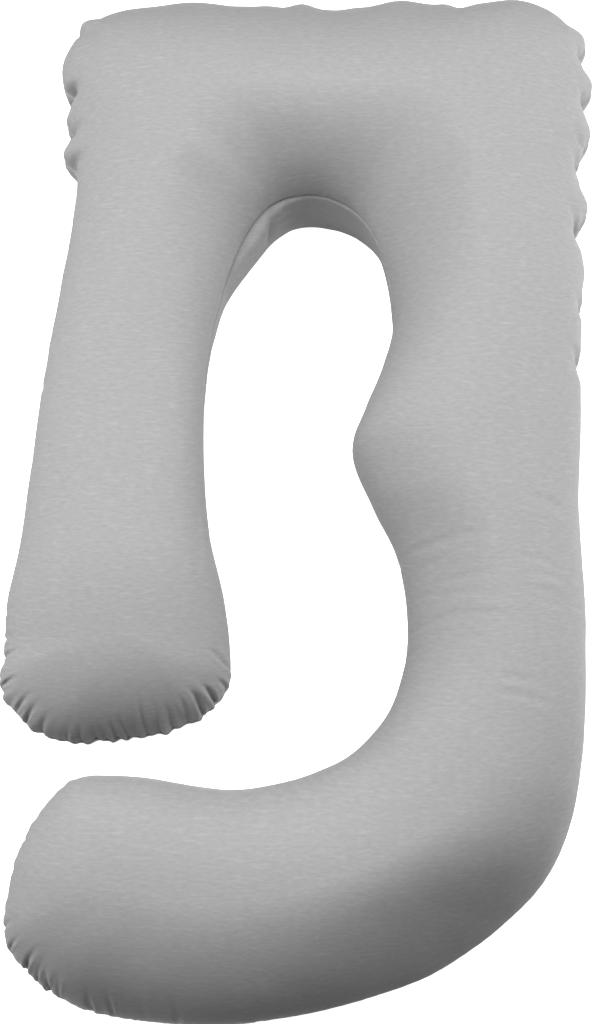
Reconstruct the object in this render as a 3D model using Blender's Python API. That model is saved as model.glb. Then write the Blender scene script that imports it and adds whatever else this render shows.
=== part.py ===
"""A full-length J-shaped body pillow, lying on its back panel with its head end towards +Y.

Two jersey panels are sewn together along one seam that runs all the way round, and the fill holds them apart.
The pillow has a straight arm on the left, a head bar, a contoured arm on the right and a leg hook at the foot.
Units are metres, +Z is up, and the origin is on the floor under the middle of the pillow's box.
"""

import math
from collections import namedtuple

import bmesh
import bpy
from mathutils import Vector

# Driving sizes
SEAM_SHARE = 0.40  # height of the seam, as a share of the crown above it
SOLE_SHARE = 0.56  # share of the width that lies flat on the floor
SEAM_TUCK = 0.006  # how far the stitching draws the seam in
FRONT_FULLNESS = 1.95  # superellipse exponent of the front panel's cross-section: 2 is an ellipse
BACK_FULLNESS = 2.6  # the back panel sits fuller under the weight
SWELL_SPREAD = 4.5  # how much more of the width lies flat for each metre that the back panel swells out
LOBE_DEPTH = 3.0  # how quickly a lobe of the edge fades towards the ridge
SWELL_RISE = 0.6  # the back panel swells out close under the seam
ROLL_START = -0.09  # y from which the straight arm's top rolls down to its end
ROLL_RADIUS = 0.36
ROLL_SECTIONS = 7  # the straight arm's own cross-sections

# Where the rings of vertices lie on each panel, from 0 at the seam to 1 at the ridge or the floor.
# The second ring of each is close to the seam, as the lip of the groove that the stitching makes.
FRONT_TURNS = (0, 0.07, 0.20, 0.34, 0.49, 0.65, 0.82)
BACK_TURNS = (0, 0.05, 0.26, 0.50, 0.75, 1)
CAP_STEPS = 6

JERSEY_COLOUR = (0.42, 0.42, 0.43, 1.0)
JERSEY_ROUGHNESS = 0.9

# Cross-sections from the arm's end, over the head bar and down to the hook. The outer edge is the long way round.
# swell is how far the back panel bulges past the seam on the inner side, ridge is where the top lies between the
# inner edge (0) and the outer edge (1), and steps is the divisions to the next row.
Section = namedtuple("Section", "outer_x outer_y inner_x inner_y crown swell ridge steps")
SECTIONS = (
    Section(-0.433, -0.265, -0.113, -0.265, 0.226, 0.000, 0.46, 3),
    Section(-0.430, -0.190, -0.124, -0.185, 0.226, 0.000, 0.46, 3),
    Section(-0.414, -0.100, -0.144, -0.100, 0.220, 0.000, 0.46, 3),
    Section(-0.404, 0.000, -0.153, 0.000, 0.213, 0.000, 0.46, 3),
    Section(-0.395, 0.100, -0.154, 0.100, 0.208, 0.000, 0.45, 3),
    Section(-0.384, 0.200, -0.148, 0.190, 0.210, 0.003, 0.45, 4),
    Section(-0.369, 0.300, -0.131, 0.275, 0.217, 0.010, 0.44, 4),
    Section(-0.357, 0.380, -0.111, 0.336, 0.225, 0.020, 0.44, 5),
    Section(-0.352, 0.460, -0.092, 0.376, 0.233, 0.027, 0.43, 6),
    Section(-0.360, 0.540, -0.076, 0.401, 0.241, 0.032, 0.42, 6),
    Section(-0.373, 0.620, -0.060, 0.417, 0.244, 0.036, 0.42, 6),
    Section(-0.361, 0.685, -0.046, 0.426, 0.247, 0.038, 0.41, 5),
    Section(-0.320, 0.722, -0.032, 0.432, 0.248, 0.038, 0.41, 5),
    Section(-0.240, 0.740, -0.016, 0.435, 0.249, 0.037, 0.40, 5),
    Section(-0.120, 0.742, 0.000, 0.436, 0.250, 0.036, 0.40, 5),
    Section(0.020, 0.739, 0.017, 0.434, 0.251, 0.034, 0.40, 5),
    Section(0.160, 0.744, 0.035, 0.428, 0.252, 0.031, 0.40, 5),
    Section(0.280, 0.746, 0.053, 0.419, 0.251, 0.026, 0.40, 4),
    Section(0.364, 0.739, 0.070, 0.406, 0.250, 0.020, 0.40, 5),
    Section(0.411, 0.696, 0.084, 0.390, 0.250, 0.013, 0.40, 5),
    Section(0.423, 0.630, 0.095, 0.370, 0.249, 0.005, 0.40, 6),
    Section(0.422, 0.550, 0.107, 0.343, 0.248, 0.000, 0.40, 6),
    Section(0.411, 0.460, 0.117, 0.305, 0.245, 0.000, 0.40, 6),
    Section(0.407, 0.370, 0.122, 0.262, 0.243, 0.000, 0.41, 6),
    Section(0.407, 0.280, 0.123, 0.214, 0.242, 0.000, 0.41, 5),
    Section(0.401, 0.190, 0.108, 0.153, 0.244, 0.000, 0.42, 4),
    Section(0.397, 0.100, 0.080, 0.085, 0.248, 0.000, 0.42, 4),
    Section(0.392, 0.020, 0.062, 0.030, 0.250, 0.000, 0.43, 4),
    Section(0.388, -0.060, 0.088, -0.044, 0.248, 0.000, 0.44, 4),
    Section(0.389, -0.150, 0.124, -0.119, 0.242, 0.000, 0.45, 3),
    Section(0.390, -0.240, 0.140, -0.205, 0.240, 0.000, 0.46, 3),
    Section(0.387, -0.330, 0.134, -0.288, 0.243, 0.000, 0.48, 3),
    Section(0.378, -0.415, 0.107, -0.358, 0.249, 0.000, 0.49, 4),
    Section(0.360, -0.502, 0.062, -0.411, 0.255, 0.000, 0.51, 4),
    Section(0.322, -0.585, 0.008, -0.440, 0.260, 0.000, 0.51, 4),
    Section(0.251, -0.654, -0.054, -0.457, 0.264, 0.000, 0.50, 4),
    Section(0.151, -0.714, -0.112, -0.463, 0.266, 0.000, 0.50, 4),
    Section(0.025, -0.753, -0.168, -0.457, 0.265, 0.000, 0.49, 4),
    Section(-0.105, -0.773, -0.222, -0.446, 0.261, 0.000, 0.49, 4),
    Section(-0.225, -0.768, -0.275, -0.442, 0.253, 0.000, 0.48, 4),
)

# Edge points of the two rounded ends, between the last section's two edge points
Edge = namedtuple("Edge", "x y")
HOOK_END = (
    Edge(-0.316, -0.749),
    Edge(-0.374, -0.713),
    Edge(-0.411, -0.664),
    Edge(-0.408, -0.598),
    Edge(-0.391, -0.534),
    Edge(-0.359, -0.479),
    Edge(-0.322, -0.447),
)
ARM_END = (
    Edge(-0.116, -0.317),
    Edge(-0.143, -0.356),
    Edge(-0.192, -0.379),
    Edge(-0.270, -0.395),
    Edge(-0.354, -0.394),
    Edge(-0.410, -0.364),
    Edge(-0.437, -0.317),
)

# Scallops that the gathered seam throws along the outer edge: out is positive for a lobe, negative for a notch
Lobe = namedtuple("Lobe", "x y out reach")
LOBES = (
    Lobe(-0.358, 0.499, 0.020, 0.030),
    Lobe(-0.362, 0.553, 0.009, 0.022),
    Lobe(-0.368, 0.590, -0.012, 0.022),
    Lobe(-0.371, 0.640, 0.009, 0.045),
    Lobe(-0.358, 0.692, -0.006, 0.020),
    Lobe(-0.346, 0.708, 0.014, 0.020),
    Lobe(-0.160, 0.742, 0.003, 0.070),
    Lobe(-0.055, 0.741, -0.004, 0.035),
    Lobe(0.000, 0.740, 0.005, 0.035),
    Lobe(0.048, 0.740, -0.009, 0.040),
    Lobe(0.150, 0.744, 0.006, 0.060),
    Lobe(0.248, 0.746, -0.014, 0.035),
    Lobe(0.320, 0.746, 0.007, 0.055),
    Lobe(0.419, 0.688, 0.014, 0.028),
    Lobe(0.422, 0.655, -0.004, 0.018),
    Lobe(0.423, 0.612, 0.013, 0.028),
    Lobe(0.423, 0.575, -0.009, 0.022),
    Lobe(0.420, 0.530, 0.010, 0.032),
    Lobe(0.412, 0.466, -0.010, 0.030),
    Lobe(0.409, 0.410, 0.013, 0.032),
    Lobe(0.407, 0.358, -0.017, 0.028),
    Lobe(0.408, 0.304, 0.004, 0.035),
    Lobe(0.404, 0.238, -0.007, 0.022),
    Lobe(0.399, 0.150, -0.011, 0.030),
)

# Main creases of the front panel, as soft troughs that start at the seam and run in to the second point
Crease = namedtuple("Crease", "x y end_x end_y depth half_width")
CREASES = (
    Crease(0.412, 0.476, 0.372, 0.512, 0.006, 0.016),
    Crease(0.403, 0.365, 0.360, 0.410, 0.006, 0.016),
    Crease(0.394, 0.155, 0.372, 0.182, 0.004, 0.014),
    Crease(-0.366, 0.600, -0.330, 0.592, 0.005, 0.014),
    Crease(-0.358, 0.534, -0.325, 0.522, 0.005, 0.014),
    Crease(-0.389, 0.120, -0.345, 0.142, 0.003, 0.016),
    Crease(-0.120, -0.318, -0.165, -0.292, 0.006, 0.012),
    Crease(-0.138, -0.352, -0.178, -0.312, 0.007, 0.012),
    Crease(-0.186, -0.384, -0.205, -0.330, 0.006, 0.013),
    Crease(-0.245, -0.396, -0.255, -0.340, 0.006, 0.013),
    Crease(-0.310, -0.396, -0.305, -0.345, 0.005, 0.013),
    Crease(-0.392, -0.374, -0.365, -0.335, 0.006, 0.012),
    Crease(-0.430, -0.320, -0.395, -0.300, 0.005, 0.012),
    Crease(-0.406, -0.672, -0.370, -0.650, 0.005, 0.012),
    Crease(-0.388, -0.704, -0.352, -0.668, 0.007, 0.012),
    Crease(-0.352, -0.732, -0.326, -0.690, 0.006, 0.013),
    Crease(-0.296, -0.752, -0.285, -0.705, 0.004, 0.014),
)


def closed_path(points, steps):
    """Points along a closed centripetal Catmull-Rom curve through the given ones, with its own divisions per stretch."""
    path = []
    count = len(points)
    for i in range(count):
        p = [points[(i + k) % count] for k in (-1, 0, 1, 2)]
        knots = [0.0]
        for a, b in zip(p, p[1:]):
            knots.append(knots[-1] + math.sqrt((b - a).length))
        for step in range(steps[i]):
            u = knots[1] + (knots[2] - knots[1]) * step / steps[i]
            lines = [between(p[k], p[k + 1], knots[k], knots[k + 1], u) for k in range(3)]
            bends = [between(lines[k], lines[k + 1], knots[k], knots[k + 2], u) for k in range(2)]
            path.append(between(bends[0], bends[1], knots[1], knots[2], u))
    return path


def between(a, b, start, end, u):
    """The value at u on the line that is a at start and b at end."""
    return a + (b - a) * ((u - start) / (end - start))


def bump(distance, reach):
    """1 at no distance, falling smoothly to 0 at the reach."""
    if distance >= reach:
        return 0.0
    return 0.5 + 0.5 * math.cos(math.pi * distance / reach)


def section_values(column):
    """A column of the section table at every station, on a smooth curve through its rows."""
    known = [getattr(row, column) for row in SECTIONS]
    known = [2 * known[0] - known[1]] + known + [2 * known[-1] - known[-2]]
    values = []
    for i, row in enumerate(SECTIONS[:-1]):
        a, b, c, d = known[i : i + 4]
        for step in range(row.steps):
            t = step / row.steps
            curve = 2 * b + (c - a) * t + (2 * a - 5 * b + 4 * c - d) * t**2 + (3 * b - a - 3 * c + d) * t**3
            values.append(curve / 2)
    return values + [known[-2]]


def pillow_edge():
    """The plan outline as a closed loop, clockwise from above, and the station of the ridge that each point belongs to.

    The loop runs up the outer edge, round the hook's end, back along the inner edge and round the arm's end.
    """
    outer = [Vector((s.outer_x, s.outer_y)) for s in SECTIONS]
    inner = [Vector((s.inner_x, s.inner_y)) for s in reversed(SECTIONS)]
    row_steps = [s.steps for s in SECTIONS[:-1]]
    steps = row_steps + [CAP_STEPS] * (len(HOOK_END) + 1)
    steps += row_steps[::-1] + [CAP_STEPS] * (len(ARM_END) + 1)
    points = outer + [Vector(e) for e in HOOK_END] + inner + [Vector(e) for e in ARM_END]
    path = closed_path(points, steps)
    last = sum(row_steps)
    stations = list(range(last + 1))
    stations += [last] * (CAP_STEPS * (len(HOOK_END) + 1) - 1)
    stations += list(range(last, -1, -1))
    stations += [0] * (CAP_STEPS * (len(ARM_END) + 1) - 1)
    return path, stations, last


def quarter_turn(turn, fullness):
    """How far across and how far up a rounded cross-section has come, at a turn from 0 at its edge to 1 at its top."""
    angle = math.pi / 2 * turn
    return max(math.cos(angle), 0.0) ** (2 / fullness), math.sin(angle) ** (2 / fullness)


def outward_normals(path):
    count = len(path)
    normals = []
    for i in range(count):
        along = path[(i + 1) % count] - path[i - 1]
        normals.append(Vector((-along.y, along.x)).normalized())
    return normals


def lobe_offset(point):
    """How far the scallops push the edge out at a point."""
    return sum(lobe.out * bump((point - Vector((lobe.x, lobe.y))).length, lobe.reach) for lobe in LOBES)


def crease_depth(point):
    """How deep the creases are at a point of the front panel, seen from above."""
    total = 0.0
    for crease in CREASES:
        start = Vector((crease.x, crease.y))
        run = Vector((crease.end_x, crease.end_y)) - start
        share = (point - start).dot(run) / run.length_squared
        nearest = start + run * min(max(share, 0.0), 1.0)
        fade = bump(max(share, 0.0), 1.0)
        total += crease.depth * fade * bump((point - nearest).length, crease.half_width)
    return total


def end_roll(y):
    """The share of its height above the seam that the straight arm keeps, down to its end."""
    past = min(max((ROLL_START - y) / ROLL_RADIUS, 0.0), 0.95)
    return math.sqrt(1 - past**2)


def pillow_rings():
    """Rings of points from the seam to the ridge for the front and the back panel, and each edge point's station."""
    path, stations, last = pillow_edge()
    normals = outward_normals(path)
    crowns = section_values("crown")
    swells = section_values("swell")
    outer_count = last + 1
    inner_start = outer_count + CAP_STEPS * (len(HOOK_END) + 1) - 1
    shares = section_values("ridge")
    ridge = [path[inner_start + last - i].lerp(path[i], shares[i]) for i in range(outer_count)]
    arm_stations = sum(row.steps for row in SECTIONS[:ROLL_SECTIONS])

    front = [[] for _ in FRONT_TURNS]
    back = [[] for _ in BACK_TURNS]
    for i, (point, normal, station) in enumerate(zip(path, normals, stations)):
        crown = crowns[station]
        seam_height = SEAM_SHARE * crown
        on_inner_side = inner_start <= i <= inner_start + last
        swell = swells[station] if on_inner_side else 0.0
        sole = SOLE_SHARE + SWELL_SPREAD * swell
        middle = ridge[station]
        reach = point - middle
        lobe = normal * lobe_offset(point)
        tuck = normal * SEAM_TUCK
        for ring, turn in enumerate(FRONT_TURNS):
            share, rise = quarter_turn(turn, FRONT_FULLNESS)
            place = middle + reach * share + lobe * share**LOBE_DEPTH
            if turn == 0:
                place -= tuck
            if station < arm_stations:
                rise *= end_roll(place.y)
            front[ring].append(Vector((*place, seam_height + (crown - seam_height) * rise)))
        for ring, turn in enumerate(BACK_TURNS):
            share, drop = quarter_turn(turn, BACK_FULLNESS)
            share = sole + (1 - sole) * share
            place = middle + reach * share + lobe * share**LOBE_DEPTH
            place += normal * swell * math.sin(math.pi * turn**SWELL_RISE)
            if turn == 0:
                place -= tuck
            back[ring].append(Vector((*place, seam_height * (1 - drop))))
    crowns_line = []
    for station, (point, crown) in enumerate(zip(ridge, crowns)):
        roll = end_roll(point.y) if station < arm_stations else 1.0
        crowns_line.append(Vector((*point, crown * (SEAM_SHARE + (1 - SEAM_SHARE) * roll))))
    soles_line = [Vector((*p, 0.0)) for p in ridge]
    return front, back, crowns_line, soles_line, stations


def skin(bm, rings, middle_line, stations, facing_up):
    """Quads between each ring and the next, and between the last ring and the panel's middle line."""
    count = len(stations)
    for ring, following in zip(rings, rings[1:]):
        for i in range(count):
            j = (i + 1) % count
            add_face(bm, (ring[i], following[i], following[j], ring[j]), facing_up)
    for i in range(count):
        j = (i + 1) % count
        corners = [rings[-1][i], middle_line[stations[i]], middle_line[stations[j]], rings[-1][j]]
        if stations[i] == stations[j]:
            del corners[2]
        add_face(bm, corners, facing_up)


def add_face(bm, corners, facing_up):
    bm.faces.new(corners if facing_up else tuple(reversed(corners)))


def centre_on_origin(bm):
    """Slide the pillow so that the middle of its plan is over the origin."""
    xs = [v.co.x for v in bm.verts]
    ys = [v.co.y for v in bm.verts]
    shift = Vector(((max(xs) + min(xs)) / 2, (max(ys) + min(ys)) / 2, 0))
    for vertex in bm.verts:
        vertex.co -= shift


def build_pillow(fabric):
    front, back, crowns_line, soles_line, stations = pillow_rings()
    bm = bmesh.new()
    front_rings = [[bm.verts.new(p) for p in ring] for ring in front]
    back_rings = [front_rings[0]] + [[bm.verts.new(p) for p in ring] for ring in back[1:]]
    skin(bm, front_rings, [bm.verts.new(p) for p in crowns_line], stations, True)
    skin(bm, back_rings, [bm.verts.new(p) for p in soles_line], stations, False)
    bm.normal_update()
    creased = [v for ring in front_rings for v in ring]
    pushes = [v.normal * -crease_depth(v.co.xy) for v in creased]
    for vertex, push in zip(creased, pushes):
        vertex.co += push
    centre_on_origin(bm)
    bmesh.ops.recalc_face_normals(bm, faces=bm.faces)
    mesh = bpy.data.meshes.new("pillow")
    bm.to_mesh(mesh)
    bm.free()
    mesh.shade_smooth()
    mesh.materials.append(fabric)
    pillow = bpy.data.objects.new("pillow", mesh)
    bpy.context.scene.collection.objects.link(pillow)
    return pillow


def jersey():
    """Heather-grey knitted jersey."""
    fabric = bpy.data.materials.new("heather_jersey")
    fabric.use_nodes = True
    shader = fabric.node_tree.nodes["Principled BSDF"]
    shader.inputs["Base Color"].default_value = JERSEY_COLOUR
    shader.inputs["Roughness"].default_value = JERSEY_ROUGHNESS
    shader.inputs["Metallic"].default_value = 0.0
    return fabric


def main():
    for obj in list(bpy.data.objects):
        bpy.data.objects.remove(obj, do_unlink=True)
    build_pillow(jersey())


main()
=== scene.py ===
import math

import bmesh
import bpy
import numpy as np
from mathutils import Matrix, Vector, noise


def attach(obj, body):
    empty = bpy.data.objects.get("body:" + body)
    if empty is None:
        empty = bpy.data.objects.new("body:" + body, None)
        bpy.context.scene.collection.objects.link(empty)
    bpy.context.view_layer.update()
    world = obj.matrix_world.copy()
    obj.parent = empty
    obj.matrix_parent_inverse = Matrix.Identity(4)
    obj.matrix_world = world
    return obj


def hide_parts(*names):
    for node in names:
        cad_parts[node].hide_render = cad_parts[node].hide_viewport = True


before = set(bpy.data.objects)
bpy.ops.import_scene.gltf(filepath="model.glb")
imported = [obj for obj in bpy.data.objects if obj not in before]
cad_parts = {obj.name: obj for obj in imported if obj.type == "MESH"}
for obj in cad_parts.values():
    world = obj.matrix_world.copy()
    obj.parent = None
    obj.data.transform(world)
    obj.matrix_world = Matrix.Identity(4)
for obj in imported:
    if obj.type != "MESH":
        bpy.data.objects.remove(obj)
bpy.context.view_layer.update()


# All lengths are in metres. The cross-sections run from the straight arm's end, over the head bar and down
# to the hook: outer edge x, y, inner edge x, y, crown height, how far the back panel swells past the seam on
# the inner side, and where the ridge lies, from 0 at the inner edge to 1 at the outer.
pillow = {
    "sections": (
        (-0.433, -0.265, -0.113, -0.265, 0.226, 0.000, 0.43),
        (-0.430, -0.190, -0.124, -0.185, 0.226, 0.000, 0.43),
        (-0.414, -0.100, -0.144, -0.100, 0.220, 0.000, 0.43),
        (-0.404, 0.000, -0.153, 0.000, 0.213, 0.000, 0.43),
        (-0.395, 0.100, -0.154, 0.100, 0.208, 0.000, 0.45),
        (-0.384, 0.200, -0.148, 0.190, 0.210, 0.003, 0.45),
        (-0.369, 0.300, -0.131, 0.275, 0.217, 0.010, 0.44),
        (-0.357, 0.380, -0.111, 0.336, 0.225, 0.020, 0.44),
        (-0.352, 0.460, -0.092, 0.376, 0.233, 0.027, 0.43),
        (-0.360, 0.540, -0.076, 0.401, 0.241, 0.032, 0.385),
        (-0.373, 0.620, -0.060, 0.417, 0.244, 0.036, 0.385),
        (-0.361, 0.685, -0.046, 0.426, 0.247, 0.038, 0.375),
        (-0.320, 0.722, -0.032, 0.432, 0.248, 0.038, 0.375),
        (-0.240, 0.740, -0.016, 0.435, 0.249, 0.037, 0.365),
        (-0.120, 0.742, 0.000, 0.436, 0.250, 0.036, 0.365),
        (0.020, 0.739, 0.017, 0.434, 0.251, 0.034, 0.365),
        (0.160, 0.744, 0.035, 0.428, 0.252, 0.031, 0.365),
        (0.280, 0.746, 0.053, 0.419, 0.251, 0.026, 0.365),
        (0.364, 0.739, 0.070, 0.406, 0.250, 0.020, 0.365),
        (0.411, 0.696, 0.084, 0.390, 0.250, 0.013, 0.365),
        (0.423, 0.630, 0.095, 0.370, 0.249, 0.005, 0.365),
        (0.422, 0.550, 0.107, 0.343, 0.248, 0.000, 0.40),
        (0.411, 0.460, 0.117, 0.305, 0.245, 0.000, 0.40),
        (0.407, 0.370, 0.122, 0.262, 0.243, 0.000, 0.41),
        (0.407, 0.280, 0.123, 0.214, 0.242, 0.000, 0.41),
        (0.401, 0.190, 0.108, 0.153, 0.244, 0.000, 0.42),
        (0.397, 0.100, 0.080, 0.085, 0.248, 0.000, 0.42),
        (0.392, 0.020, 0.062, 0.030, 0.250, 0.000, 0.43),
        (0.388, -0.060, 0.088, -0.044, 0.248, 0.000, 0.44),
        (0.389, -0.150, 0.124, -0.119, 0.242, 0.000, 0.45),
        (0.390, -0.240, 0.140, -0.205, 0.240, 0.000, 0.46),
        (0.387, -0.330, 0.134, -0.288, 0.243, 0.000, 0.48),
        (0.378, -0.415, 0.107, -0.358, 0.249, 0.000, 0.48),
        (0.360, -0.502, 0.062, -0.411, 0.255, 0.000, 0.50),
        (0.322, -0.585, 0.008, -0.440, 0.260, 0.000, 0.51),
        (0.251, -0.654, -0.054, -0.457, 0.264, 0.000, 0.515),
        (0.151, -0.714, -0.112, -0.463, 0.266, 0.000, 0.525),
        (0.025, -0.753, -0.168, -0.457, 0.265, 0.000, 0.535),
        (-0.105, -0.773, -0.222, -0.446, 0.261, 0.000, 0.53),
        (-0.225, -0.768, -0.275, -0.442, 0.253, 0.000, 0.49),
    ),
    "hookEnd": (
        (-0.316, -0.749),
        (-0.374, -0.713),
        (-0.411, -0.664),
        (-0.408, -0.598),
        (-0.391, -0.534),
        (-0.359, -0.479),
        (-0.322, -0.447),
    ),
    "armEnd": (
        (-0.115, -0.314),
        (-0.142, -0.351),
        (-0.191, -0.372),
        (-0.270, -0.387),
        (-0.357, -0.388),
        (-0.409, -0.358),
        (-0.437, -0.314),
    ),
    # Where the seam runs below its usual height or, with a negative dip, above it: x, y, reach and dip
    "seamDips": (
        (-0.270, -0.390, 0.220, 0.030),
        (0.000, 0.430, 0.170, 0.009),
        (0.290, -0.630, 0.300, 0.018),
        (-0.150, 0.000, 0.340, -0.028),
        (-0.080, -0.775, 0.300, -0.030),
    ),
    "softRidge": (0.200, -0.700, 0.520, 0.22),  # x, y, reach and share of the slope over which the ridge is rounded
    "middle": (-0.0012, -0.0106),  # the middle of the pillow's box in the tables' own coordinates
    "seamShare": 0.40,  # height of the seam as a share of the crown
    "soleShare": 0.56,  # share of the width that lies flat
    "swellSpread": 9.0,  # how much more of it lies flat for each metre of the back panel's swell
    "wallLip": 0.04,  # share of the swell that the back panel reaches just under the seam
    "lipGain": 0.70,  # what that lip gains where it is wide
    "lipDrop": 0.045,  # share of the drop to the floor in which the lip turns down
    "wideLip": (-0.086, 0.365, 0.115),  # x, y and reach of the stretch where the lip is wide
    "wallRun": 0.38,  # share of the swell that the rest gains on its way down to the floor
    "wallStiffness": 130.0,  # how upright the panel hangs where it swells
    "frontFullness": 1.95,  # 2 is a round profile, more is boxier and less is leaner
    "backFullness": 2.6,
    "lobeFade": 14.0,  # how quickly a scallop fades towards the ridge
    "headLobeFade": 4.0,  # and how quickly along the head bar
    "lobeShift": (0.0, -0.008),  # the back panel's scallops lie a little below the front's
    "lobeParting": 0.010,  # height above and below the seam within which the two part
    "rollStart": -0.10,  # y from which the straight arm's top rolls down to its end
    "rollRadius": 0.34,
    "rollLimit": 0.95,  # the roll stops at this share of its radius
    "rollStations": 100,  # stations of the straight arm, which is all that rolls down
    "columnSpacing": 0.0062,  # between columns of vertices along the outer edge
    "fineSpacing": 0.0042,  # where it is scalloped or wrinkled
    "fineSections": (0, 1, 7, 8, 9, 10, 11, 18, 19, 20, 21, 22, 23, 24, 25, 28, 29, 30, 31, 32, 38),
    "endSpacing": 0.0018,  # round the two gathered ends
    "seamTuck": 0.0062,  # how far the stitching pulls the seam in
    "seamHalfWidth": 0.0021,
    "stitchPitch": 0.0045,
    "puckerDepth": 0.0004,
    "puckerReach": 0.008,
    "puckerDrift": (1.3, 61.0),  # the stitches are a little uneven: how much, and how quickly that changes
    "restHeight": 0.012,  # below this the cloth is pressed flat
    "courseBow": 0.26,  # how far the knit's courses bow towards the head for each metre of height
    "slopeShare": 0.25,  # share of a slope's extra length that shows in the front panel's pattern
    "backPatternShift": 4.0,  # the back panel is cut from another part of the cloth
    "fill": 0.85,
}

# Where the front panel is fuller or leaner than the rest: x, y on the edge, reach and change of the fullness
fullnessChanges = (
    (-0.150, 0.050, 0.360, 1.05),
    (0.210, -0.695, 0.400, -0.74),
    (0.080, -0.400, 0.160, 0.45),
    (-0.090, 0.370, 0.150, -0.45),
    (0.110, 0.330, 0.180, -0.55),
    (0.120, -0.150, 0.200, -0.28),
    (0.060, 0.020, 0.100, -0.25),
    (-0.120, -0.770, 0.280, -0.22),
    (-0.270, -0.390, 0.210, 0.75),
    (0.020, 0.740, 0.480, -0.30),
    (-0.380, -0.550, 0.170, 0.60),
)

# Scallops of the outer edge: x, y, how far out, and reach
scallops = (
    (-0.358, 0.499, 0.020, 0.030),
    (-0.362, 0.553, 0.009, 0.022),
    (-0.368, 0.590, -0.017, 0.022),
    (-0.371, 0.642, 0.009, 0.052),
    (-0.358, 0.694, -0.005, 0.016),
    (-0.346, 0.708, 0.014, 0.020),
    (-0.180, 0.742, 0.008, 0.070),
    (-0.062, 0.741, 0.003, 0.035),
    (-0.012, 0.740, 0.012, 0.036),
    (0.046, 0.740, -0.004, 0.034),
    (0.145, 0.744, 0.013, 0.062),
    (0.245, 0.746, -0.012, 0.034),
    (0.320, 0.746, 0.007, 0.055),
    (0.419, 0.688, 0.014, 0.028),
    (0.422, 0.655, -0.008, 0.018),
    (0.423, 0.612, 0.013, 0.028),
    (0.423, 0.575, -0.009, 0.022),
    (0.420, 0.530, 0.010, 0.032),
    (0.412, 0.466, -0.010, 0.030),
    (0.409, 0.410, 0.013, 0.032),
    (0.407, 0.358, -0.017, 0.028),
    (0.408, 0.304, 0.004, 0.035),
    (0.404, 0.238, -0.007, 0.022),
    (0.399, 0.150, -0.011, 0.030),
    (-0.434, -0.281, -0.006, 0.012),
)

# Creases of the front panel, deepest where they start: start x, y, end x, y, depth and half width.
# A negative depth is a ridge.
creases = (
    (0.417, 0.647, 0.398, 0.673, 0.0035, 0.0055),
    (0.419, 0.574, 0.400, 0.596, 0.0030, 0.0060),
    (0.406, 0.498, 0.378, 0.545, 0.0050, 0.0060),
    (0.409, 0.458, 0.378, 0.492, 0.0045, 0.0075),
    (0.399, 0.362, 0.370, 0.405, 0.0045, 0.0070),
    (0.401, 0.236, 0.384, 0.262, 0.0025, 0.0070),
    (0.394, 0.150, 0.372, 0.178, 0.0035, 0.0065),
    (-0.368, 0.590, -0.340, 0.586, 0.0035, 0.0070),
    (-0.360, 0.526, -0.338, 0.516, 0.0040, 0.0060),
    (-0.352, 0.478, -0.330, 0.470, 0.0030, 0.0070),
    (-0.352, 0.692, -0.330, 0.668, 0.0030, 0.0070),
    (-0.374, 0.183, -0.340, 0.210, 0.0022, 0.0060),
    (-0.390, 0.120, -0.350, 0.136, 0.0015, 0.0070),
    (-0.209, -0.385, -0.213, -0.352, 0.0034, 0.0030),
    (-0.226, -0.387, -0.236, -0.346, 0.0034, 0.0030),
    (-0.240, -0.389, -0.247, -0.364, 0.0021, 0.0026),
    (-0.254, -0.388, -0.269, -0.362, 0.0036, 0.0030),
    (-0.270, -0.390, -0.281, -0.362, 0.0034, 0.0030),
    (-0.286, -0.390, -0.292, -0.374, 0.0021, 0.0026),
    (-0.300, -0.391, -0.304, -0.376, 0.0026, 0.0026),
    (-0.321, -0.392, -0.321, -0.377, 0.0021, 0.0026),
    (-0.340, -0.390, -0.336, -0.380, 0.0017, 0.0026),
    (-0.376, -0.379, -0.366, -0.362, 0.0021, 0.0033),
    (-0.396, -0.364, -0.380, -0.348, 0.0038, 0.0033),
    (-0.407, -0.349, -0.388, -0.334, 0.0036, 0.0033),
    (-0.428, -0.317, -0.410, -0.312, 0.0043, 0.0030),
    (-0.428, -0.276, -0.408, -0.276, 0.0030, 0.0033),
    (-0.430, -0.251, -0.412, -0.252, 0.0026, 0.0033),
    (-0.430, -0.214, -0.414, -0.216, 0.0017, 0.0033),
    (-0.405, -0.620, -0.392, -0.616, 0.0013, 0.0033),
    (-0.409, -0.648, -0.394, -0.640, 0.0021, 0.0033),
    (-0.400, -0.675, -0.385, -0.660, 0.0030, 0.0030),
    (-0.382, -0.704, -0.360, -0.676, 0.0047, 0.0033),
    (-0.372, -0.706, -0.362, -0.672, -0.0017, 0.0033),
    (-0.364, -0.716, -0.352, -0.688, 0.0026, 0.0030),
    (-0.348, -0.731, -0.352, -0.692, 0.0051, 0.0033),
    (-0.334, -0.736, -0.330, -0.712, 0.0021, 0.0030),
    (-0.289, -0.753, -0.296, -0.732, 0.0026, 0.0033),
    (-0.261, -0.757, -0.267, -0.734, 0.0024, 0.0033),
    (-0.217, -0.764, -0.220, -0.742, 0.0013, 0.0033),
    (-0.173, -0.770, -0.175, -0.740, 0.0019, 0.0040),
    (-0.067, -0.768, -0.072, -0.722, 0.0020, 0.0043),
    (-0.388, -0.534, -0.378, -0.530, 0.0019, 0.0030),
    (0.330, -0.194, 0.358, -0.207, -0.0015, 0.0049),
)

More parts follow.
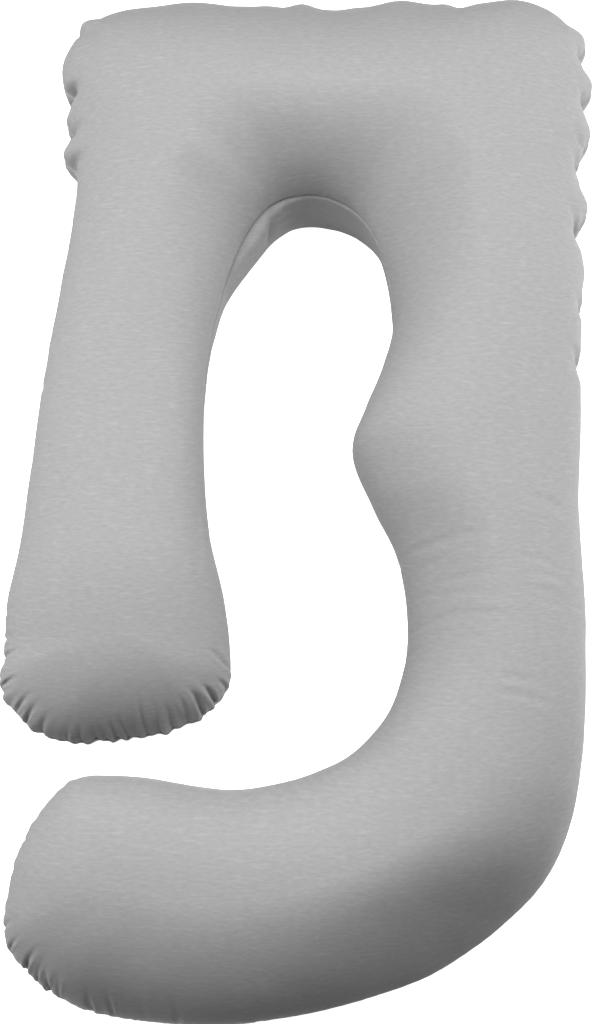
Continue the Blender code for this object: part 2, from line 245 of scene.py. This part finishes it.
# Wrinkles, the same, but fading at both ends: at the right of the straight arm's end, then on the contoured arm
wrinkles = (
    (-0.116, -0.294, -0.134, -0.274, 0.0038, 0.0030),
    (-0.110, -0.323, -0.128, -0.312, 0.0026, 0.0030),
    (-0.130, -0.342, -0.143, -0.324, 0.0050, 0.0031),
    (-0.141, -0.345, -0.154, -0.322, -0.0021, 0.0034),
    (-0.149, -0.357, -0.159, -0.333, 0.0054, 0.0031),
    (-0.170, -0.365, -0.176, -0.343, 0.0026, 0.0031),
    (-0.192, -0.377, -0.196, -0.352, 0.0021, 0.0031),
    (0.146, -0.200, 0.172, -0.201, 0.0015, 0.0045),
    (0.132, -0.136, 0.195, -0.133, 0.0021, 0.0049),
    (0.195, -0.131, 0.232, -0.128, 0.0015, 0.0049),
    (0.152, -0.163, 0.186, -0.159, 0.0019, 0.0045),
    (0.178, -0.188, 0.236, -0.182, 0.0021, 0.0049),
    (0.288, -0.162, 0.322, -0.162, 0.0018, 0.0045),
    (0.218, -0.229, 0.268, -0.230, -0.0018, 0.0054),
    (0.134, -0.245, 0.218, -0.236, 0.0023, 0.0049),
    (0.300, -0.197, 0.330, -0.194, -0.0018, 0.0054),
    (0.202, -0.272, 0.230, -0.272, 0.0015, 0.0045),
    (0.244, -0.329, 0.290, -0.329, 0.0019, 0.0045),
    (0.250, -0.349, 0.296, -0.355, 0.0019, 0.0049),
    (0.296, -0.360, 0.320, -0.360, 0.0015, 0.0045),
    (0.300, -0.067, 0.352, -0.091, 0.0021, 0.0063),
    (0.133, -0.281, 0.158, -0.271, 0.0018, 0.0045),
    (0.173, -0.211, 0.234, -0.204, 0.0012, 0.0042),
    (0.180, -0.195, 0.238, -0.192, 0.0010, 0.0038),
    (0.294, -0.218, 0.337, -0.224, 0.0012, 0.0040),
    (0.281, -0.200, 0.324, -0.211, 0.0010, 0.0038),
    (0.160, -0.174, 0.220, -0.168, 0.0011, 0.0040),
    (0.153, -0.236, 0.214, -0.229, 0.0012, 0.0042),
)

creaseShape = {
    "startWidth": 0.8,
    "widening": 0.5,
    "shoulder": 0.3,  # height of the rounded shoulders beside the valley
    "shoulderAt": 1.9,  # and their place, in half widths
    "shoulderWidth": 0.9,
    "creaseFade": 0.8,
    "wrinkleFade": 0.7,
    "notch": 170.0,  # how far a crease draws the edge in, for the square of its depth
    "notchWidth": 1.4,
}

# Folds of the back panel, which hang down from the seam: x, y at the seam, depth, half width, length
# and how far they lean towards the straight arm for each metre down
wallFolds = (
    (-0.060, 0.412, 0.0060, 0.0100, 0.085, 0.25),
    (-0.128, 0.290, 0.0020, 0.0110, 0.070, 0.0),
    (-0.138, -0.350, 0.0040, 0.0060, 0.040, 0.0),
)
foldStart = 0.008  # below the seam

gathering = {
    "pitch": 0.0100,  # between the small gathers at the two ends
    "gaps": (0.45, 2.0),  # least and most, as shares of the pitch
    "depth": 0.0011,
    "sizes": (0.1, 1.3),
    "length": 0.017,
    "lengths": (0.4, 1.8),
    "lean": 0.30,
    "halfWidth": 0.0023,
    "startWidth": 0.8,
    "widening": 0.7,
    "shoulder": 0.4,
    "shoulderAt": 1.8,
    "shoulderWidth": 0.9,
    "armReach": (0.03, 0.06),  # how far past the rounded end the gathers go on, before and after it
    "hookReach": (0.10, 0.03),
    "hookShare": 0.45,  # the hook's end is gathered less
    "wobble": 0.0010,  # the edge wanders in and out there
    "wobbleLengths": (0.0190, 0.0270, 0.0410, 0.0620),
    "wobblePhase": 900.0,
    "wobbleFade": 0.03,
    "seed": 11,
}

# Shallow hollows and swellings that the loose fill leaves: size and height
lumps = ((0.105, 0.0016), (0.048, 0.0007), (0.024, 0.0003))

# Where the rows of vertices lie on each panel, from 0 at the seam to 1 at the ridge or the floor:
# a row every few millimetres, closer together beside the seam.
frontTurns = (0, 0.005, 0.010, 0.016, 0.0235, 0.033, 0.046, 0.0625, 0.083, 0.108, 0.137, 0.171, 0.208, 0.250)
frontTurns += (0.296, 0.346, 0.400, 0.458, 0.525, 0.600, 0.680, 0.765, 0.860, 0.940)
backTurns = (0, 0.0018, 0.0045, 0.0085, 0.014, 0.022, 0.034, 0.051, 0.075, 0.110, 0.160, 0.220, 0.290, 0.370)
backTurns += (0.460, 0.560, 0.680, 0.820, 1)
soleShares = (0.72, 0.42, 0.20)


def closedPath(points, steps):  # a smooth closed line through the points, with so many steps between each two
    path = []
    count = len(points)
    for i in range(count):
        p = [points[(i + k) % count] for k in (-1, 0, 1, 2)]
        knots = [0.0]
        for a, b in zip(p, p[1:]):
            knots.append(knots[-1] + math.sqrt((b - a).length))
        for step in range(steps[i]):
            u = knots[1] + (knots[2] - knots[1]) * step / steps[i]
            lines = [onLine(p[k], p[k + 1], knots[k], knots[k + 1], u) for k in range(3)]
            bends = [onLine(lines[k], lines[k + 1], knots[k], knots[k + 2], u) for k in range(2)]
            path.append(onLine(bends[0], bends[1], knots[1], knots[2], u))
    return path


def onLine(a, b, start, end, u):
    return a + (b - a) * ((u - start) / (end - start))


def bump(distance, reach):  # 1 at no distance, easing to 0 at the reach
    return 0.5 + 0.5 * np.cos(np.pi * np.minimum(distance / reach, 1.0))


def softRise(share, fullness, soften):  # height along a full or lean curve, its ridge rounded where soften isn't 0
    share = (np.sqrt(share**2 + soften**2) - soften) / (np.sqrt(1 + soften**2) - soften)
    return np.maximum(1 - share**fullness, 0) ** (1 / fullness)


def frontFullness(path):
    fullness = np.full(len(path), pillow["frontFullness"])
    for x, y, reach, change in fullnessChanges:
        fullness += change * bump(np.hypot(path[:, 0] - x, path[:, 1] - y), reach)
    return fullness


def pillowEdge():  # the edge as one closed line, with the cross-section that each of its points belongs to
    rows = pillow["sections"]
    outer = [Vector(r[0:2]) for r in rows]
    inner = [Vector(r[2:4]) for r in reversed(rows)]
    hookEnd = [Vector(p) for p in pillow["hookEnd"]]
    armEnd = [Vector(p) for p in pillow["armEnd"]]
    rowSteps = []
    for i, (a, b) in enumerate(zip(outer, outer[1:])):
        spacing = pillow["fineSpacing"] if i in pillow["fineSections"] else pillow["columnSpacing"]
        rowSteps.append(max(3, round((b - a).length / spacing)))
    hookSteps = endSteps([outer[-1]] + hookEnd + [inner[0]])
    armSteps = endSteps([inner[-1]] + armEnd + [outer[0]])
    steps = rowSteps + hookSteps + rowSteps[::-1] + armSteps
    path = closedPath(outer + hookEnd + inner + armEnd, steps)
    last = sum(rowSteps)
    stations = list(range(last + 1)) + [last] * (sum(hookSteps) - 1)
    stations += list(range(last, -1, -1)) + [0] * (sum(armSteps) - 1)
    return np.array(path), np.array(stations), rowSteps


def endSteps(points):
    return [max(4, round((b - a).length / pillow["endSpacing"])) for a, b in zip(points, points[1:])]


def smoothColumn(column, rowSteps):  # a column of the section table at every station
    known = [row[column] for row in pillow["sections"]]
    known = [2 * known[0] - known[1]] + known + [2 * known[-1] - known[-2]]
    values = []
    for i, count in enumerate(rowSteps):
        a, b, c, d = known[i : i + 4]
        for step in range(count):
            t = step / count
            curve = 2 * b + (c - a) * t + (2 * a - 5 * b + 4 * c - d) * t**2 + (3 * b - a - 3 * c + d) * t**3
            values.append(curve / 2)
    return np.array(values + [known[-2]])


def lobeOffset(path, shift=(0.0, 0.0)):  # how far the scallops and the creases move the edge
    total = np.zeros(len(path))
    for x, y, out, reach in scallops:
        total += out * bump(np.hypot(path[:, 0] - x - shift[0], path[:, 1] - y - shift[1]), reach)
    for x, y, endX, endY, depth, halfWidth in creases + wrinkles:
        away = np.hypot(path[:, 0] - x, path[:, 1] - y) / (creaseShape["notchWidth"] * halfWidth)
        total -= creaseShape["notch"] * max(depth, 0) ** 2 * np.exp(-(away**2))
    return total


def valley(away, shape):  # a sharp valley with rounded shoulders
    shoulders = np.exp(-(((away - shape["shoulderAt"]) / shape["shoulderWidth"]) ** 2))
    return np.exp(-(away**2)) - shape["shoulder"] * shoulders


def creaseDepth(points):
    total = np.zeros(len(points))
    for line in creases + wrinkles:
        x, y, endX, endY, depth, halfWidth = line
        start = np.array((x, y))
        run = np.array((endX, endY)) - start
        share = np.clip((points - start) @ run / (run @ run), 0, 1)
        width = halfWidth * (creaseShape["startWidth"] + creaseShape["widening"] * share)
        away = np.hypot(*(points - start - share[:, None] * run).T) / width
        if line in wrinkles:
            fade = np.sin(np.pi * share) ** creaseShape["wrinkleFade"]
        else:
            fade = (1 - share) ** creaseShape["creaseFade"]
        total += depth * valley(away, creaseShape) * fade
    return total


def edgeWobble(along, around, regions):  # the gathered stretches of the edge are a little uneven
    total = np.zeros(len(along))
    for start, end, strength in regions:
        past = (along - start) % around
        within = np.clip(np.minimum(past, end - start - past) / gathering["wobbleFade"], 0, 1)
        for length in gathering["wobbleLengths"]:
            wave = np.sin(2 * np.pi * past / length + length * gathering["wobblePhase"])
            total += gathering["wobble"] * strength * within * wave
    return total


def gatherDepth(along, inwards, around, regions, rng):  # small gathers perpendicular to the seam
    total = np.zeros(along.shape)
    for start, end, strength in regions:
        at = start
        while at < end:
            size = strength * rng.uniform(*gathering["sizes"])
            length = gathering["length"] * rng.uniform(*gathering["lengths"])
            lean = rng.uniform(-gathering["lean"], gathering["lean"])
            away = np.abs((along - at - lean * inwards + around / 2) % around - around / 2)
            width = gathering["halfWidth"] * (gathering["startWidth"] + gathering["widening"] * inwards / length)
            fade = np.clip(1 - inwards / length, 0, 1)
            total += gathering["depth"] * size * valley(away / width, gathering) * fade
            at += gathering["pitch"] * rng.uniform(*gathering["gaps"])
    return total


def foldDepth(along, inwards, around, path, arc):
    total = np.zeros(along.shape)
    for x, y, depth, halfWidth, length, lean in wallFolds:
        at = arc[nearestPoint(path, x, y)] + lean * inwards
        away = np.abs((along - at + around / 2) % around - around / 2)
        down = np.clip((inwards - foldStart) / length, 0, 1)
        total += depth * np.exp(-((away / halfWidth) ** 2)) * np.sin(np.pi * down) ** creaseShape["wrinkleFade"]
    return total


def nearestPoint(path, x, y):
    return np.argmin(np.hypot(path[:, 0] - x, path[:, 1] - y))


def lumpHeight(points):
    total = np.zeros(len(points))
    for i, p in enumerate(points):
        total[i] = sum(height * noise.noise(Vector(p) / size) for size, height in lumps)
    return total


def pillowRings():
    path, stations, rowSteps = pillowEdge()
    last = sum(rowSteps)
    count = len(path)
    along = np.roll(path, -1, axis=0) - np.roll(path, 1, axis=0)
    normals = np.stack((-along[:, 1], along[:, 0]), axis=1)
    normals /= np.linalg.norm(normals, axis=1)[:, None]
    innerStart = int(np.nonzero(stations == last)[0][-1])
    ridgeShare = smoothColumn(6, rowSteps)[:, None]
    ridge = path[: last + 1] * ridgeShare + path[innerStart + last - np.arange(last + 1)] * (1 - ridgeShare)
    ridgeCrown = smoothColumn(4, rowSteps)
    crown = ridgeCrown[stations]
    onInnerSide = (np.arange(count) >= innerStart) & (np.arange(count) <= innerStart + last)
    swell = np.where(onInnerSide, smoothColumn(5, rowSteps)[stations], 0.0)
    middle = ridge[stations]
    reach = path - middle

    arc, around = edgeLength(path)
    wobble = edgeWobble(arc, around, gatherRegions(path, arc))
    frontLobe = lobeOffset(path) + wobble
    backLobe = lobeOffset(path, pillow["lobeShift"]) + wobble
    seamLobe = (frontLobe + backLobe) / 2
    facesHead = np.clip(normals[:, 1], 0, 1) ** 2
    lobeFade = pillow["lobeFade"] + (pillow["headLobeFade"] - pillow["lobeFade"]) * facesHead
    seamHeight = pillow["seamShare"] * crown
    for x, y, dipReach, dip in pillow["seamDips"]:
        seamHeight = seamHeight - dip * bump(np.hypot(path[:, 0] - x, path[:, 1] - y), dipReach)

    frontFull = frontFullness(path)
    softX, softY, softReach, softShare = pillow["softRidge"]
    soften = softShare * bump(np.hypot(path[:, 0] - softX, path[:, 1] - softY), softReach)
    front = []
    for turn in frontTurns:
        share = math.cos(math.pi / 2 * turn) ** (2 / frontFull)
        rise = softRise(share, frontFull, soften)
        height = seamHeight + (crown - seamHeight) * rise
        parted = np.minimum((height - seamHeight) / pillow["lobeParting"], 1)
        lobe = (seamLobe + (frontLobe - seamLobe) * parted) * share**lobeFade
        place = middle + reach * share[:, None] + normals * lobe[:, None]
        height -= (1 - endRoll(place[:, 1], stations)) * rise * (1 - pillow["seamShare"]) * crown
        place -= normals * seamTuck(height - seamHeight)[:, None]
        front.append(np.column_stack((place, height)))

    sole = pillow["soleShare"] + pillow["swellSpread"] * swell
    fullness = pillow["backFullness"] + pillow["wallStiffness"] * swell
    lipX, lipY, lipReach = pillow["wideLip"]
    lipShare = bump(np.hypot(path[:, 0] - lipX, path[:, 1] - lipY), lipReach)
    lip = pillow["wallLip"] + pillow["lipGain"] * lipShare
    back = []
    for turn in backTurns:
        drop = math.sin(math.pi / 2 * turn) ** (2 / pillow["backFullness"])
        share = sole + (1 - sole) * np.maximum(1 - drop**fullness, 0) ** (1 / fullness)
        height = seamHeight * (1 - drop)
        hang = lip * (1 - np.exp(-drop / pillow["lipDrop"])) + pillow["wallRun"] * (1 - lipShare) * drop
        parted = np.minimum((seamHeight - height) / pillow["lobeParting"], 1)
        lobe = (seamLobe + (backLobe - seamLobe) * parted) * share**lobeFade
        place = middle + reach * share[:, None] + normals * (lobe + swell * hang)[:, None]
        place -= normals * seamTuck(height - seamHeight)[:, None]
        back.append(np.column_stack((place, height)))
    for share in soleShares:  # the part that lies flat
        place = middle + reach * (sole * share)[:, None] + normals * (swell * hang * share**2)[:, None]
        back.append(np.column_stack((place, np.zeros(count))))

    ridgeSeam = pillow["seamShare"] * ridgeCrown
    roll = endRoll(ridge[:, 1], np.arange(last + 1))
    crownLine = np.column_stack((ridge, ridgeSeam + (ridgeCrown - ridgeSeam) * roll))
    soleLine = np.column_stack((ridge, np.zeros(last + 1)))
    return front, back, crownLine, soleLine, stations, path


def endRoll(y, stations):  # share of its height that the straight arm keeps, down to its end
    past = np.clip((pillow["rollStart"] - y) / pillow["rollRadius"], 0, pillow["rollLimit"])
    return np.where(stations < pillow["rollStations"], np.sqrt(1 - past**2), 1.0)


def seamTuck(height):
    return pillow["seamTuck"] * np.exp(-((height / pillow["seamHalfWidth"]) ** 2))


def panelFaces(rings, middleLine, stations, facingUp):
    faces = []
    following = np.roll(np.arange(len(stations)), -1)
    for ring, after in zip(rings, rings[1:]):
        faces += [(ring[i], after[i], after[j], ring[j]) for i, j in enumerate(following)]
    ring = rings[-1]
    for i, j in enumerate(following):
        a, b = middleLine[stations[i]], middleLine[stations[j]]
        faces.append((ring[i], a, ring[j]) if a == b else (ring[i], a, b, ring[j]))
    return faces if facingUp else [face[::-1] for face in faces]


def clothPattern(rings, middleLine, stations, slopeShare, bow):  # where each point lay on the flat cloth
    # The courses of the knit stay level, so what a slope adds goes mostly straight sideways or straight up,
    # and they bow a little towards the head where the fill lifts them.
    points = rings + [middleLine[stations]]
    steps = [np.linalg.norm(a - b, axis=1) for a, b in zip(points, points[1:])]
    level = [np.linalg.norm((a - b)[:, :2], axis=1) for a, b in zip(points, points[1:])]
    gained = np.cumsum((np.array(steps) - np.array(level))[::-1], axis=0)[::-1]
    direction = (rings[0][:, :2] - middleLine[stations][:, :2]) ** 3
    direction /= np.linalg.norm(direction, axis=1)[:, None]
    flat = []
    for ring, more in zip(rings, gained):
        place = ring[:, :2] + direction * (slopeShare * more)[:, None]
        place[:, 1] += bow * ring[:, 2]
        flat.append(place)
    return flat


def buildPillow():
    front, back, crownLine, soleLine, stations, path = pillowRings()
    count = len(stations)
    frontIds = [np.arange(count) + count * k for k in range(len(front))]
    crownIds = np.arange(len(crownLine)) + count * len(front)
    start = count * len(front) + len(crownLine)
    backIds = [frontIds[0]] + [np.arange(count) + start + count * k for k in range(len(back) - 1)]
    soleIds = np.arange(len(soleLine)) + start + count * (len(back) - 1)
    points = np.vstack(front + [crownLine] + back[1:] + [soleLine])
    frontFaces = panelFaces(frontIds, crownIds, stations, True)
    backFaces = panelFaces(backIds, soleIds, stations, False)
    mesh = bpy.data.meshes.new("pillow_cover")
    mesh.from_pydata(points.tolist(), [], [tuple(map(int, f)) for f in frontFaces + backFaces])
    cover = bpy.data.objects.new("pillow_cover", mesh)
    bpy.context.scene.collection.objects.link(cover)

    bow = pillow["courseBow"]
    frontUv = np.zeros((len(points), 2))
    for ids, flat in zip(frontIds, clothPattern(front, crownLine, stations, pillow["slopeShare"], bow)):
        frontUv[ids] = flat
    frontUv[crownIds] = crownLine[:, :2] + np.outer(crownLine[:, 2], (0, bow))
    backUv = np.zeros((len(points), 2))
    for ids, flat in zip(backIds, clothPattern(back, soleLine, stations, 1.0, 0.0)):
        backUv[ids] = flat
    backUv[soleIds] = soleLine[:, :2]
    backUv += pillow["backPatternShift"]
    corners = np.empty(len(mesh.loops), dtype=np.int32)
    mesh.loops.foreach_get("vertex_index", corners)
    onFront = np.arange(len(corners)) < sum(len(f) for f in frontFaces)
    uv = np.where(onFront[:, None], frontUv[corners], backUv[corners])
    layer = mesh.uv_layers.new(name="cloth")
    layer.data.foreach_set("uv", uv.astype(np.float32).ravel())

    shapeCloth(mesh, path, frontIds, crownIds, backIds)
    recalcNormals(cover)
    return cover


def shapeCloth(mesh, path, frontIds, crownIds, backIds):
    # Creases, gathers and lumps move the cloth along its own normals
    co = np.empty(len(mesh.vertices) * 3)
    mesh.vertices.foreach_get("co", co)
    co = co.reshape(-1, 3)
    normals = np.empty(len(mesh.vertices) * 3)
    mesh.vertex_normals.foreach_get("vector", normals)
    normals = normals.reshape(-1, 3)
    arc, around = edgeLength(path)
    regions = gatherRegions(path, arc)
    pitch, reach = 2 * pillow["stitchPitch"], pillow["puckerReach"]
    drift, driftRate = pillow["puckerDrift"]
    relief = lumpHeight(co)
    relief[: crownIds[-1] + 1] -= creaseDepth(co[: crownIds[-1] + 1, :2])
    for ids, isBack in ((frontIds, False), (backIds, True)):
        grid = np.array(ids)
        steps = np.linalg.norm(np.diff(co[grid], axis=0), axis=2)
        inwards = np.vstack((np.zeros(len(path)), np.cumsum(steps, axis=0)))
        along = np.broadcast_to(arc, inwards.shape)
        rng = np.random.default_rng(gathering["seed"])
        depth = gatherDepth(along, inwards, around, regions, rng)
        pucker = np.sin(2 * np.pi * along / pitch + drift * np.sin(along * driftRate))
        depth += pillow["puckerDepth"] * pucker * np.exp(-((inwards / reach) ** 2))
        if isBack:  # the seam itself has been moved with the front panel
            depth += foldDepth(along, inwards, around, path, arc)
            depth, grid = depth[1:], grid[1:]
        relief[grid] -= depth
    relief *= np.clip(co[:, 2] / pillow["restHeight"], 0, 1)
    co += normals * relief[:, None]
    co[:, 2] = np.maximum(co[:, 2], 0)
    co[:, :2] -= pillow["middle"]
    mesh.vertices.foreach_set("co", np.ascontiguousarray(co, dtype=np.float32).ravel())
    mesh.update()


def edgeLength(path):  # how far along the edge each point lies, and the whole way round
    steps = np.linalg.norm(np.diff(np.vstack((path, path[:1])), axis=0), axis=1)
    return np.concatenate(([0], np.cumsum(steps)[:-1])), steps.sum()


def gatherRegions(path, arc):  # the two rounded ends, as stretches of the edge
    regions = []
    for points, (before, after), strength in (
        (pillow["hookEnd"], gathering["hookReach"], gathering["hookShare"]),
        (pillow["armEnd"], gathering["armReach"], 1.0),
    ):
        start, end = [arc[nearestPoint(path, x, y)] for x, y in (points[0], points[-1])]
        regions.append((start - before, end + after, strength))
    return regions


def recalcNormals(piece):
    bm = bmesh.new()
    bm.from_mesh(piece.data)
    bmesh.ops.recalc_face_normals(bm, faces=bm.faces)
    bm.to_mesh(piece.data)
    bm.free()
    piece.data.shade_smooth()


jersey = {
    "lightYarn": "#9b9b9b",
    "darkYarn": "#909090",
    "yarnEnds": (0.25, 0.75),  # where the noise is all dark and all light yarn
    # The knit's courses lie about 0.6 mm apart and a fibre shows for 3 to 5 mm, which is too fine to be seen
    # from here: six courses are drawn as one, and their streaks are longer to match.
    "streakLength": 0.011,
    "streakWidth": 0.0036,
    "streakDetail": 2.0,
    "slubLength": 0.026,  # slubs, thicker stretches of light yarn, are drawn as coarse as the streaks
    "slubWidth": 0.0044,
    "slubEnds": (0.60, 0.85),
    "slubShare": 0.24,
    "grainRoughness": 0.55,
    "fleckShade": "#adadad",
    "fleckSpacing": 0.042,
    "fleckSize": 0.0018,  # a real fleck of pale lint is about 1 mm
    "fleckCore": 0.4,
    "fleckShare": 0.5,
    "relief": 0.00015,
    "roughness": 0.92,
    "sheen": 0.18,
    "sheenRoughness": 0.30,
    "specular": 0.2,
}

floorFinish = {"shade": "#f7f7f7", "roughness": 0.7, "glow": 1.0, "size": 8.0, "below": 0.0006}


def linear(hexColour):
    channels = [int(hexColour[i : i + 2], 16) / 255 for i in (1, 3, 5)]
    return [c / 12.92 if c <= 0.04045 else ((c + 0.055) / 1.055) ** 2.4 for c in channels] + [1.0]


def addNode(tree, kind, settings=None, links=None):
    node = tree.nodes.new(kind)
    for name, value in (settings or {}).items():
        if name in node.inputs:
            node.inputs[name].default_value = value
        else:
            setattr(node, name, value)
    for name, source in (links or {}).items():
        tree.links.new(source, node.inputs[name])
    return node


def newMaterial(name):
    material = bpy.data.materials.new(name)
    material.use_nodes = True
    return material, material.node_tree, material.node_tree.nodes["Principled BSDF"]


def heatherJersey():
    # Cotton single jersey, knitted from grey melange yarn: light and dark fibres show as short streaks along
    # the courses, the surface is matt, and its raised fibres give a faint sheen.
    material, tree, shader = newMaterial("heather_jersey")
    cloth = addNode(tree, "ShaderNodeUVMap", {"uv_map": "cloth"}).outputs["UV"]
    grains = []
    for length, width, detail in (
        (jersey["streakLength"], jersey["streakWidth"], jersey["streakDetail"]),
        (jersey["slubLength"], jersey["slubWidth"], 0.0),
    ):
        drawnOut = addNode(tree, "ShaderNodeMapping", {"Scale": (1 / length, 1 / width, 1)}, {"Vector": cloth})
        grain = {"Scale": 1.0, "Detail": detail, "Roughness": jersey["grainRoughness"]}
        grains.append(addNode(tree, "ShaderNodeTexNoise", grain, {"Vector": drawnOut.outputs["Vector"]}))
    streaks, slubs = [grain.outputs["Fac"] for grain in grains]
    yarn = addNode(tree, "ShaderNodeValToRGB", {}, {"Fac": streaks})
    for end, place, shade in zip(
        yarn.color_ramp.elements, jersey["yarnEnds"], (jersey["darkYarn"], jersey["lightYarn"])
    ):
        end.position = place
        end.color = linear(shade)
    slubRange = {"From Min": jersey["slubEnds"][0], "From Max": jersey["slubEnds"][1]}
    slubRange.update({"To Min": 0.0, "To Max": jersey["slubShare"]})
    slubShare = addNode(tree, "ShaderNodeMapRange", slubRange, {"Value": slubs}).outputs["Result"]
    spots = {"Scale": 1 / jersey["fleckSpacing"], "Randomness": 1.0}
    flecks = addNode(tree, "ShaderNodeTexVoronoi", spots, {"Vector": cloth}).outputs["Distance"]
    fleckEdge = jersey["fleckSize"] / jersey["fleckSpacing"]
    fleckRange = {"From Min": fleckEdge * jersey["fleckCore"], "From Max": fleckEdge}
    fleckRange.update({"To Min": jersey["fleckShare"], "To Max": 0.0})
    fleckShare = addNode(tree, "ShaderNodeMapRange", fleckRange, {"Value": flecks}).outputs["Result"]
    most = addNode(tree, "ShaderNodeMath", {"operation": "MAXIMUM"}, {0: slubShare, 1: fleckShare})
    colour = addNode(
        tree,
        "ShaderNodeMixRGB",
        {"Color2": linear(jersey["fleckShade"])},
        {"Fac": most.outputs["Value"], "Color1": yarn.outputs["Color"]},
    )
    tree.links.new(colour.outputs["Color"], shader.inputs["Base Color"])
    relief = addNode(tree, "ShaderNodeBump", {"Strength": 1.0, "Distance": jersey["relief"]}, {"Height": streaks})
    tree.links.new(relief.outputs["Normal"], shader.inputs["Normal"])
    shader.inputs["Roughness"].default_value = jersey["roughness"]
    shader.inputs["Sheen Weight"].default_value = jersey["sheen"]
    shader.inputs["Sheen Roughness"].default_value = jersey["sheenRoughness"]
    shader.inputs["Specular IOR Level"].default_value = jersey["specular"]
    return material


def paleFloor():
    # White opal acrylic, lit from below as a light table: even white, and no shadow under the pillow
    material, tree, shader = newMaterial("pale_floor")
    shader.inputs["Base Color"].default_value = linear(floorFinish["shade"])
    shader.inputs["Roughness"].default_value = floorFinish["roughness"]
    shader.inputs["Emission Color"].default_value = (1, 1, 1, 1)
    shader.inputs["Emission Strength"].default_value = floorFinish["glow"]
    return material


studio = {
    "target": (-0.0185, -0.0504, 0.09),  # what the camera looks at
    "distance": 2.55,
    "elevation": 75.0,
    "lens": 61.9,  # mm, on a 36 mm sensor
    "backdrop": 1.0,  # the white backdrop behind the floor is seen but throws little light
    "worldStrength": 0.04,
    "exposure": 0.965,
    "lampAim": (0, 0, 0.1),
}
# Softboxes, all turned to the pillow: place, size and power. The two bounce boxes stand below the floor
# and give the light that a white table throws back under the pillow's sides.
softboxes = {
    "right": ((2.250, 0.650, 1.606), 2.0, 52.0),
    "headRight": ((2.150, 1.200, 1.350), 2.0, 24.0),
    "left": ((-2.694, 0.436, 0.725), 2.0, 48.0),
    "leftHigh": ((-1.179, 0.303, 2.538), 2.0, 67.0),
    "overhead": ((0.0, 0.3, 1.6), 1.4, 9.0),
    "bounceRight": ((1.800, 0.300, -0.900), 2.0, 38.0),
    "bounceFoot": ((-0.150, -1.000, -0.350), 0.6, 2.5),
}


def addFloor():
    bpy.ops.mesh.primitive_plane_add(size=floorFinish["size"], location=(0, 0, -floorFinish["below"]))
    floor = bpy.context.object
    floor.name = "floor"
    floor.visible_diffuse = False  # the bounce boxes shine up through it instead
    floor.visible_shadow = False
    floor.data.materials.append(paleFloor())


def addCamera():
    camera = bpy.data.objects.new("camera", bpy.data.cameras.new("camera"))
    bpy.context.scene.collection.objects.link(camera)
    elevation = math.radians(studio["elevation"])
    away = Vector((0, -math.cos(elevation), math.sin(elevation))) * studio["distance"]
    camera.location = Vector(studio["target"]) + away
    camera.rotation_euler = (math.pi / 2 - elevation, 0, 0)
    camera.data.lens = studio["lens"]
    bpy.context.scene.camera = camera


def addLights():
    for name, (place, size, power) in softboxes.items():
        data = bpy.data.lights.new(name, "AREA")
        data.shape = "SQUARE"
        data.size = size
        data.energy = power * studio["exposure"]
        lamp = bpy.data.objects.new(name, data)
        bpy.context.scene.collection.objects.link(lamp)
        lamp.location = place
        lamp.rotation_euler = (lamp.location - Vector(studio["lampAim"])).to_track_quat("Z", "Y").to_euler()
    world = bpy.data.worlds.new("studio")
    bpy.context.scene.world = world
    world.use_nodes = True
    background = world.node_tree.nodes["Background"]
    background.inputs["Color"].default_value = (1, 1, 1, 1)
    seen = addNode(world.node_tree, "ShaderNodeLightPath").outputs["Is Camera Ray"]
    strengths = {"To Min": studio["worldStrength"] * studio["exposure"], "To Max": studio["backdrop"]}
    strength = addNode(world.node_tree, "ShaderNodeMapRange", strengths, {"Value": seen}).outputs["Result"]
    world.node_tree.links.new(strength, background.inputs["Strength"])


print("shaping the pillow")
cover = buildPillow()
cover.data.materials.append(heatherJersey())
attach(cover, "root")
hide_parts("pillow")

print("setting up the studio")
addFloor()
addCamera()
addLights()
bpy.context.scene.view_settings.view_transform = "Standard"
